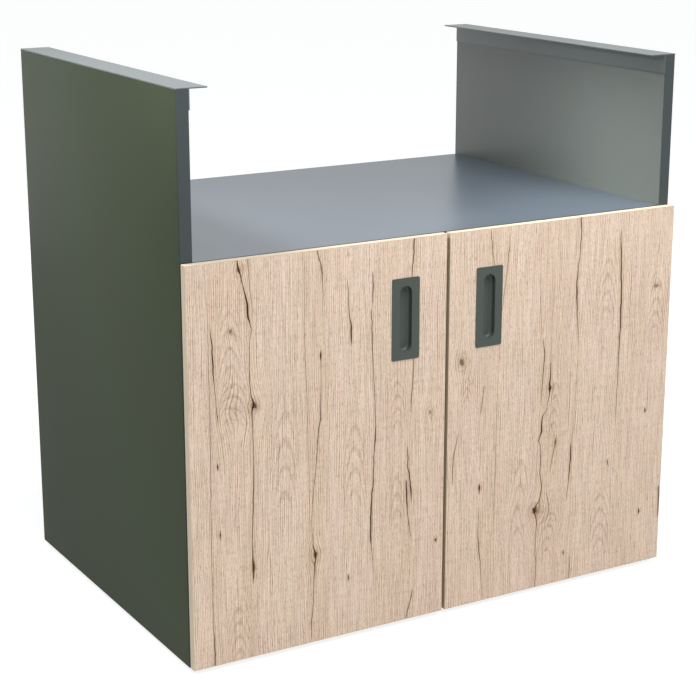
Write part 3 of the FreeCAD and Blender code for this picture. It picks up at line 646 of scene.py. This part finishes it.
right_lanes = [
    [(630, 80, 0.4), (615, 81, 0.4), (600, 83, 0.4), (588, 86, 0.3), (577, 88, 0.2), (385, 72, 0),
     (380, 72, 0.3), (360, 70, 0.5), (340, 67, 0.4), (330, 66, 0), (217, 67, 0), (210, 67, 1.6),
     (203, 67, 0.8), (195, 67, 0), (150, 66, 0.3), (125, 66, 0.5), (110, 68, 0.7), (95, 69, 0.6),
     (80, 72, 0.5), (50, 74, 0.3), (20, 77, 0.2)],
    [(605, 115, 0.2), (600, 115, 0.4), (560, 111, 0.3), (510, 105, 0.3), (490, 102, 0.1), (330, 98, 0.15),
     (250, 98, 0.25), (150, 97, 0.2), (100, 95, 0)],
    [(310, 23, 0), (300, 22, 0.4), (280, 17, 0.5), (265, 15, 0.6), (245, 14, 0.5), (230, 14, 0.4),
     (220, 14, 0)],
    [(445, 187, 0), (440, 187, 0.4), (420, 191, 0.7), (385, 189, 0.5), (345, 187, 0.3), (335, 187, 0),
     (325, 200, 0), (320, 198, 0.5), (310, 190, 0.8), (300, 189, 1.0), (285, 189, 1.4), (275, 186, 0.8),
     (270, 184, 0.7), (262, 188, 0.3), (250, 189, 0.5), (210, 189, 0.5), (190, 193, 0.6), (175, 192, 0.6),
     (165, 190, 0.7), (157, 183, 1.0), (150, 180, 1.6), (143, 180, 1.2), (135, 183, 0.5), (125, 185, 0.4),
     (80, 183, 0.35), (50, 186, 0.4), (10, 185, 0.35)],
    [(405, 204, 0.2), (400, 204, 0.6), (380, 204, 0.8), (365, 203, 1.4), (357, 204, 2.0), (350, 203, 0.9),
     (345, 203, 0.6), (335, 201, 0.4), (325, 199, 0.2), (318, 198, 0), (268, 219, 0.2), (262, 219, 0.9),
     (250, 216, 0.5), (220, 210, 0.3), (205, 209, 0)],
    [(636, 256, 0.8), (620, 257, 0.7), (600, 257, 0.6), (580, 256, 0.5), (560, 254, 0.5), (530, 252, 0.8),
     (515, 252, 1.1), (500, 253, 1.0), (480, 254, 0.6), (455, 257, 0.4), (430, 259, 0.3),
     (420, 259, 0.15), (300, 257, 0.12), (255, 252, 0.2), (250, 251, 0.7), (235, 251, 1.1),
     (225, 251, 1.0), (195, 249, 0.7), (180, 248, 0.4), (160, 246, 0.4), (150, 245, 0), (66, 243, 0),
     (60, 243, 1.1), (54, 243, 0), (50, 257, 0.2), (30, 257, 0.4), (10, 256, 0.4)],
    [(610, 339, 0), (600, 339, 0.5), (570, 341, 0.9), (540, 343, 1.0), (500, 345, 1.1), (450, 346, 1.1),
     (440, 346, 0.9), (400, 345, 0.6), (360, 345, 0.5), (300, 344, 0.35), (280, 344, 0.15), (270, 344, 0),
     (213, 330, 0), (208, 330, 1.0), (203, 331, 0.6), (197, 334, 0)],
    [(293, 407, 0), (287, 407, 1.5), (281, 407, 0), (111, 404, 0), (104, 404, 1.6), (97, 404, 0)],
    [(145, 446, 0), (140, 446, 0.9), (115, 447, 1.0), (90, 447, 0.6), (80, 447, 0)],
]
right_knots = [
    (28, 427, 6, 8, 0.7), (204, 357, 4, 5, 0.9), (180, 148, 7, 7, 0.95), (205, 140, 12, 14, 0.1),
    (420, 505, 5, 5, 0.5), (67, 209, 2.5, 5, 0.8), (218, 262, 3, 6, 0.5),
]
right_arches = [
    (213, 330, 20, 60), (212, 105, 20, 55), (318, 110, 24, 70), (420, 470, 22, 60), (40, 375, 14, 40),
    (150, 180, 25, 100), (315, 520, 22, 70),
]
right_planks = [
    (3, 0.35), (60, 0.4), (75, 0.6), (98, 0.6), (104, 0.3), (165, 0.3), (178, 0.6), (215, 0.65),
    (248, 0.45), (258, 0.6), (264, 0.25), (335, 0.3), (350, 0.5), (395, 0.45), (410, 0.3), (450, 0.4),
]
decor = {
    "left": oak("left_oak", "left_door_board", left_lanes, left_knots, left_arches, left_planks),
    "right": oak("right_oak", "right_door_board", right_lanes, right_knots, right_arches, right_planks),
}


def edge_band(name):
    """A pale plastic band with a faint grain printed on it; its rim at the front has the board's own tone."""
    band = Finish(name, {"IOR": 1.45})
    line = band.noise((700, 700, 30), 2.0)
    line_depth = 0.00002
    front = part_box("left_door_edging")[0].y
    cream = band.mix(line, shade("#bbab92"), shade("#cabca5"))
    rim = band.mix(line, shade("#cfb59b"), shade("#e0cab4"))
    at_rim = band.smooth(band.along("Y") - front, 0.0008, 0.0003)
    band.feed("Base Color", band.mix(at_rim, cream, rim))
    band.feed("Roughness", 0.42 + line * 0.1)
    band.relief(line, line_depth)
    return band.material


cream_band = edge_band("cream_band")
for side in ("left", "right"):
    board = frame["nodes"][side + "_door_board"]
    board.data.materials.clear()
    board.data.materials.append(decor[side])
    softened(side + "_door_edging", cream_band, edge=0.0003)


# Pulls
# A flush pull is let into each door near the split: a 50 by 130 mm plate with a stadium-shaped finger recess.
# It is pressed from steel, coated dark grey-green and bonded in, so that no screw shows.
pull_coat = powder_coat("pull_coat", "#404843", "#48504b", gloss=0.45, bend=1.40)
for side in ("left", "right"):
    softened(side + "_pull", pull_coat, edge=0.0004)


# Hinges
# Two concealed hinges carry each door: a cup sunk in the board, a pin, a cranked arm and a plate on the wall.
# They are pressed steel, nickel plated, and held by zinc-plated screws.
nickel = plated("nickel", "#b9b5ad", "#cfccc6", gloss=0.22)
for side in ("left", "right"):
    for level in ("lower", "upper"):
        for part in ("cup", "pin", "arm", "plate"):
            softened(f"{side}_{level}_hinge_{part}", nickel, edge=0.0003)
    screws(side + "_cup_screws", zinc, pitch=0.0012)
for group in ("hinge_plate_screws", "hinge_arm_screws"):
    screws(group, zinc, pitch=0.0010)


# Catches and buffers
# A magnet in a moulded housing under the deck's flange holds each door shut by the steel strike on its back.
# Milky silicone dots, stuck to the backs of the doors, soften their stop on the deck and the floor tray.
black_plastic = moulded("black_plastic", "#1b1c1c", "#242525", gloss=0.40, grain=1500)
silicone = Finish("silicone", {"Transmission Weight": 0.5, "IOR": 1.41})
silicone.feed("Roughness", 0.25 + silicone.noise((900, 900, 900)) * 0.2)
milky = silicone.mix(silicone.noise((300, 300, 300)), shade("#dcdcd6"), shade("#eeeee9"))
silicone.feed("Base Color", milky)
for side in ("left", "right"):
    softened(side + "_catch", black_plastic, edge=0.0006)
    softened(side + "_strike", nickel, edge=0.0003)
    softened(side + "_door_buffers", silicone.material, edge=0.0006)


# Levelling feet
# Each foot is a moulded pad on a zinc-plated spindle, which turns in a nut welded into the floor tray.
# Screwing it out lowers the pad by up to 15 mm and so levels the cabinet.
spindle = repeated("threaded_spindle", ("Radius", "Length", "Pitch"), thread)
spindle_pitch = 0.00125
for end in ("front", "rear"):
    for side in ("left", "right"):
        softened(f"{end}_{side}_foot_pad", black_plastic, edge=0.0010)
        low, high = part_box(f"{end}_{side}_foot_spindle")
        top = Vector(((low.x + high.x) / 2, (low.y + high.y) / 2, high.z))
        sizes = {"Radius": (high.x - low.x) / 2, "Length": high.z - low.z, "Pitch": spindle_pitch}
        fasteners(f"{end}_{side}_foot_spindle", spindle, sizes, [(top, (0, 0, 1))], zinc)
softened("foot_nuts", zinc, edge=0.0004)


# Studio
# Floor and surroundings look white; the floor keeps a soft shadow. A large soft box hangs above the front.
# Small gridded lamps light the deck, the far wall and the near side; weak ones stand behind and at the right.
scene = bpy.context.scene
scene.view_settings.view_transform = "Standard"
white_light = (1.0, 1.0, 1.0, 1.0)


def backdrop_rays(tree):
    """1 for the rays that look at the background: straight, mirrored or through clear stuff."""
    kinds = ("Is Camera Ray", "Is Glossy Ray", "Is Transmission Ray")
    straight, mirrored, through = (tree.node("ShaderNodeLightPath", output=kind) for kind in kinds)
    return straight + mirrored + through


surroundings = bpy.data.worlds.new("surroundings")
surroundings.use_nodes = True
scene.world = surroundings
air = Tree(surroundings.node_tree)
air.data.nodes.clear()
fill = air.node("ShaderNodeBackground", {}, {"Color": (0.93, 0.97, 1.0, 1.0), "Strength": 0.45})
white = air.node("ShaderNodeBackground", {}, {"Color": white_light, "Strength": 1.0})
both = air.node("ShaderNodeMixShader", {}, {0: backdrop_rays(air), 1: fill, 2: white})
air.node("ShaderNodeOutputWorld", {}, {"Surface": both})

reach = 60.0
corners = [(-reach, -reach, 0), (reach, -reach, 0), (reach, reach, 0), (-reach, reach, 0)]
ground = bpy.data.meshes.new("ground")
ground.from_pydata(corners, [], [(0, 1, 2, 3)])
floor = bpy.data.objects.new("studio_floor", ground)
scene.collection.objects.link(floor)
paper = bpy.data.materials.new("floor_paper")
paper.use_nodes = True
sheet = Tree(paper.node_tree)
sheet.data.nodes.clear()
matt = sheet.node("ShaderNodeBsdfDiffuse", {}, {"Color": (0.54, 0.52, 0.48, 1.0)})
dim = sheet.node("ShaderNodeBsdfDiffuse", {}, {"Color": (0.30, 0.30, 0.30, 1.0)})
glow = sheet.node("ShaderNodeEmission", {}, {"Color": white_light, "Strength": 0.85})
lifted = sheet.node("ShaderNodeAddShader", {}, {0: dim, 1: glow})
seen = sheet.node("ShaderNodeMixShader", {}, {0: backdrop_rays(sheet), 1: matt, 2: lifted})
sheet.node("ShaderNodeOutputMaterial", {}, {"Surface": seen})
ground.materials.append(paper)


def soft_box(name, spot, aim, size, power, spread=180):
    """A square soft box at a spot, turned to a point; a grid narrows its spread of light, in degrees."""
    lamp = bpy.data.lights.new(name, "AREA")
    lamp.shape = "SQUARE"
    lamp.size = size
    lamp.energy = power
    lamp.spread = math.radians(spread)
    holder = bpy.data.objects.new(name, lamp)
    holder.location = spot
    holder.rotation_euler = (Vector(aim) - Vector(spot)).to_track_quat("-Z", "Y").to_euler()
    scene.collection.objects.link(holder)


soft_box("key", (0.1, -1.8, 3.2), (0.0, 0.0, 0.5), size=2.2, power=114)
soft_box("deck", (-1.0, -0.10, 2.3), (0.40, -0.30, 0.53), size=0.3, power=0.60, spread=14)
soft_box("wall", (-2.6, -0.75, 1.85), (0.43, -0.15, 0.65), size=0.3, power=0.34, spread=9)
soft_box("side", (-1.25, 0.5, 2.2), (-0.45, -0.1, 0.75), size=0.5, power=2.0, spread=34)
soft_box("rear", (-0.3, 3.0, 0.55), (0.0, 0.0, 0.45), size=1.2, power=18)
soft_box("right", (3.0, 0.5, 0.70), (0.4, 0.1, 0.45), size=1.2, power=14)


# Camera
# It stands at the front left, a little above the rails, and looks down on the deck as the photograph does.
# Its place, angles and focal length come from a fit to the cabinet's corners in a square frame.
eye = Vector((-1.4890, -2.5451, 1.1999))
turn, tilt, roll = (math.radians(angle) for angle in (30.387, 15.557, 0.03))
ahead = Vector((math.sin(turn) * math.cos(tilt), math.cos(turn) * math.cos(tilt), -math.sin(tilt)))
frame_pixels = 696
focal_pixels = 1769.2
lens = bpy.data.cameras.new("camera")
lens.sensor_width = 36.0
lens.lens = lens.sensor_width * focal_pixels / frame_pixels
lens.clip_end = 200.0
camera = bpy.data.objects.new("camera", lens)
look = ahead.to_track_quat("-Z", "Y").to_matrix() @ Matrix.Rotation(roll, 3, "Z")
camera.matrix_world = Matrix.Translation(eye) @ look.to_4x4()
scene.collection.objects.link(camera)
scene.camera = camera
